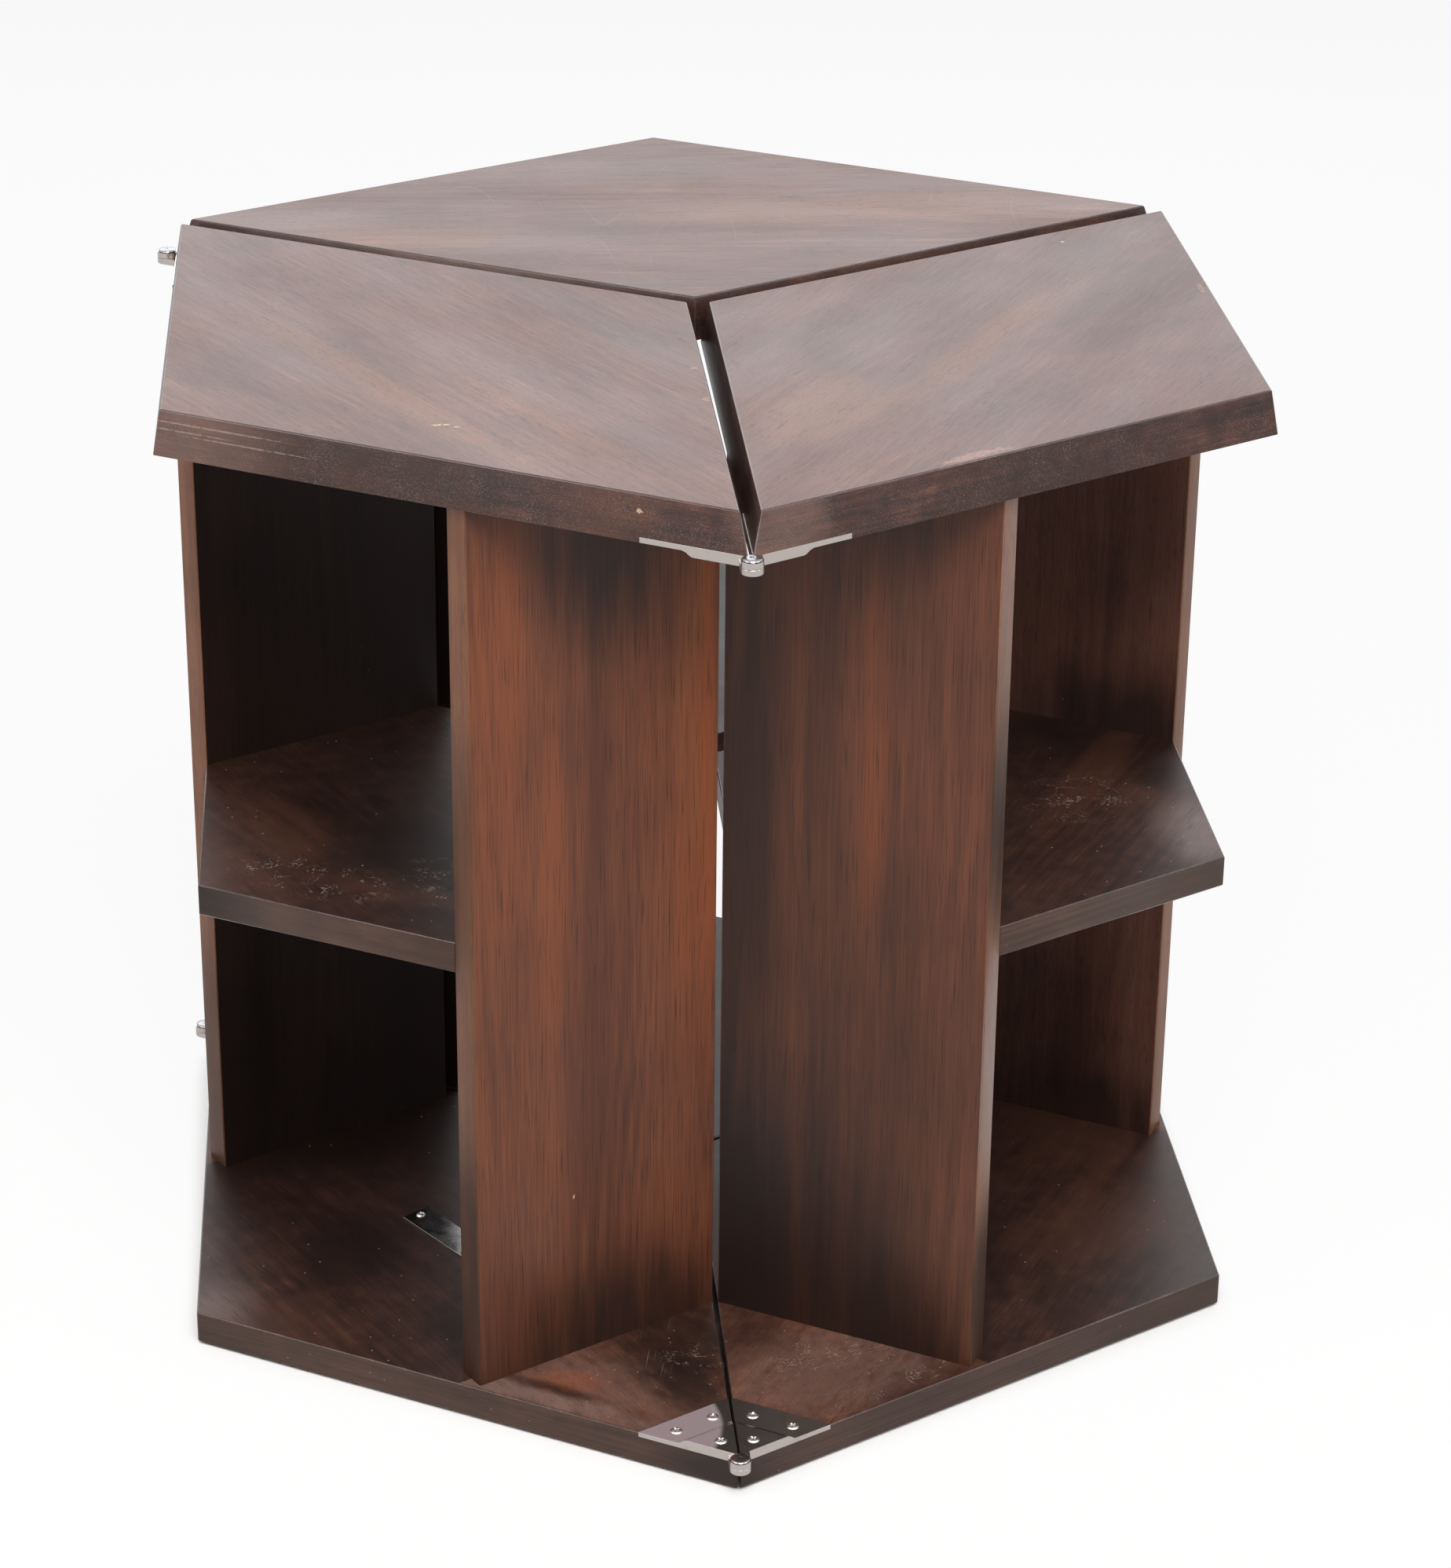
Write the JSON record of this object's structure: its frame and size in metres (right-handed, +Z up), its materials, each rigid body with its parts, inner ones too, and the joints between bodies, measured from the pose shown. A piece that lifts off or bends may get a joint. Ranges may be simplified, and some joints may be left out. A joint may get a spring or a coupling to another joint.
{
  "type": "hexagonal table of three hinged shelf units",
  "caption": "Low hexagonal table and bookcase: three rhombic shelf units with bevelled tops, chained by two vertical hinge lines so that they swing apart.",
  "frame": {"origin": "middle of the closed table's footprint, hinge barrels included, on the floor", "axes": "+Z up; -Y towards the front hinge line, along the longest way across the corners; +X to the right unit"},
  "size_m": [0.6296, 0.7218, 0.586],
  "materials": {
    "walnut_top": "dark stained walnut veneer, satin lacquer",
    "walnut_base": "dark stained walnut veneer, satin lacquer",
    "walnut_shelf": "dark stained walnut veneer, satin lacquer",
    "walnut_upright": "dark stained walnut veneer, satin lacquer",
    "beech": "plain hardwood tenon",
    "nylon": "moulded",
    "plated_leaf": "nickel plated, polished faces and satin edges",
    "polished_pin": "nickel plated, polished",
    "bright_screw": "nickel plated, polished",
    "mirror_plate": "polished, blank"
  },
  "bodies": {
    "left_unit": {"left_top_board": "walnut_top", "left_base_board": "walnut_base", "left_shelf": "walnut_shelf", "left_front_upright": "walnut_upright", "left_rear_upright": "walnut_upright", "left_tenons": "beech", "left_glides": "nylon", "left_hinge_screws": "bright_screw", "front_bottom_leaf_left": "plated_leaf", "front_top_leaf_left": "plated_leaf", "rear_bottom_leaf_left": "plated_leaf", "rear_top_leaf_left": "plated_leaf", "front_bottom_pin": "polished_pin", "front_top_pin": "polished_pin", "rear_bottom_pin": "polished_pin", "rear_top_pin": "polished_pin", "blank_plate": "mirror_plate", "plate_screws": "bright_screw"},
    "right_unit": {"right_top_board": "walnut_top", "right_base_board": "walnut_base", "right_shelf": "walnut_shelf", "right_front_upright": "walnut_upright", "right_rear_upright": "walnut_upright", "right_tenons": "beech", "right_glides": "nylon", "right_hinge_screws": "bright_screw", "front_bottom_leaf_right": "plated_leaf", "front_top_leaf_right": "plated_leaf"},
    "back_unit": {"back_top_board": "walnut_top", "back_base_board": "walnut_base", "back_shelf": "walnut_shelf", "back_left_upright": "walnut_upright", "back_right_upright": "walnut_upright", "back_tenons": "beech", "back_glides": "nylon", "back_hinge_screws": "bright_screw", "rear_bottom_leaf_back": "plated_leaf", "rear_top_leaf_back": "plated_leaf"}
  },
  "joints": [
    {"name": "right_unit_swing", "type": "hinge", "parent": "left_unit", "child": "right_unit", "pos_m": [0.00571, -0.35513, 0.0225], "axis": [0, 0, -1], "range_deg": [-0.36, 238]},
    {"name": "back_unit_swing", "type": "hinge", "parent": "left_unit", "child": "back_unit", "pos_m": [-0.30715, 0.18675, 0.0225], "axis": [0, 0, 1], "range_deg": [0, 238]}
  ]
}
